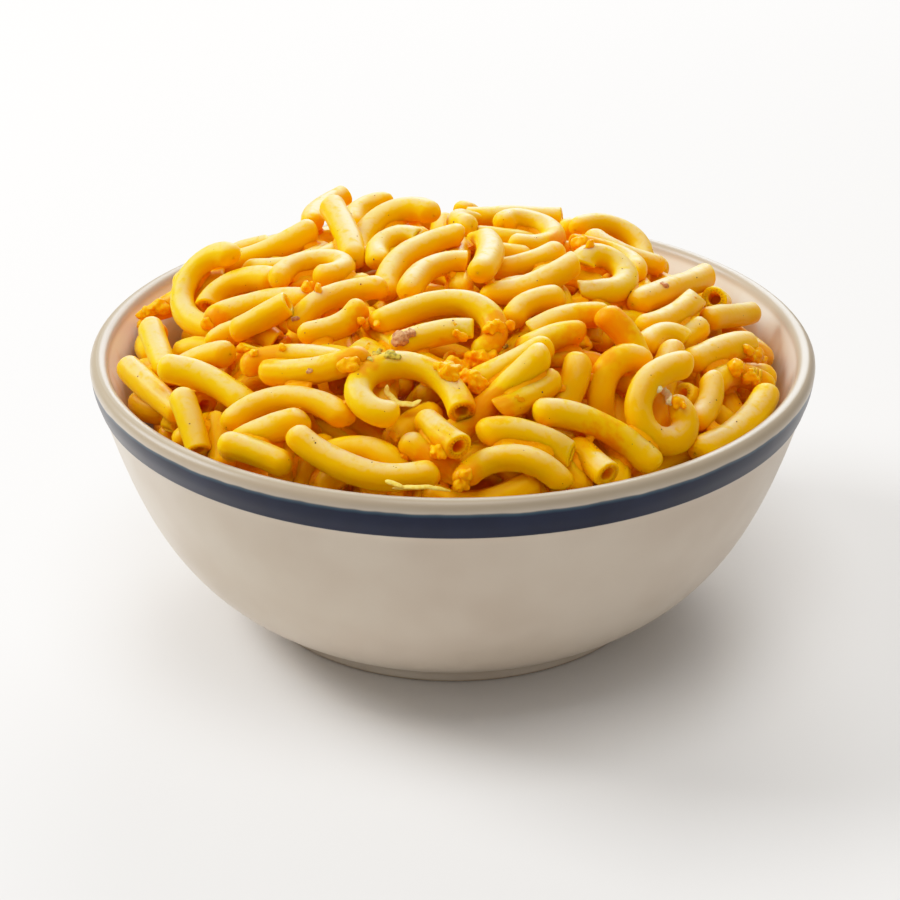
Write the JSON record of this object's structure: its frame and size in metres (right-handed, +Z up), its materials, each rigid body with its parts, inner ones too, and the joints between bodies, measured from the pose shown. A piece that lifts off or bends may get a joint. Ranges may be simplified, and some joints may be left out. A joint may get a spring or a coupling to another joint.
{
  "type": "bowl of mac and cheese",
  "caption": "Round footed stoneware bowl with a painted band under its rounded lip, heaped above the rim with hollow elbow macaroni in cheese sauce.",
  "frame": {"origin": "centre of the foot ring's underside, on the surface that the bowl stands on", "axes": "+Z up along the bowl's axis; the side of the heap that faces -Y is the front, +X is its right"},
  "size_m": [0.18, 0.18, 0.0965],
  "materials": {
    "glazed_stoneware": "cream glazed stoneware with a navy painted band under the lip, clear gloss glaze",
    "cooked_pasta": "soft cooked pasta, yellow, wet with a thin cheese sauce",
    "cheese_sauce": "thick orange cheese sauce, curdled in places, glossy",
    "seasoning": "ground black pepper, dull"
  },
  "bodies": {
    "root": {"bowl": "glazed_stoneware", "macaroni": "cooked_pasta"}
  },
  "joints": []
}
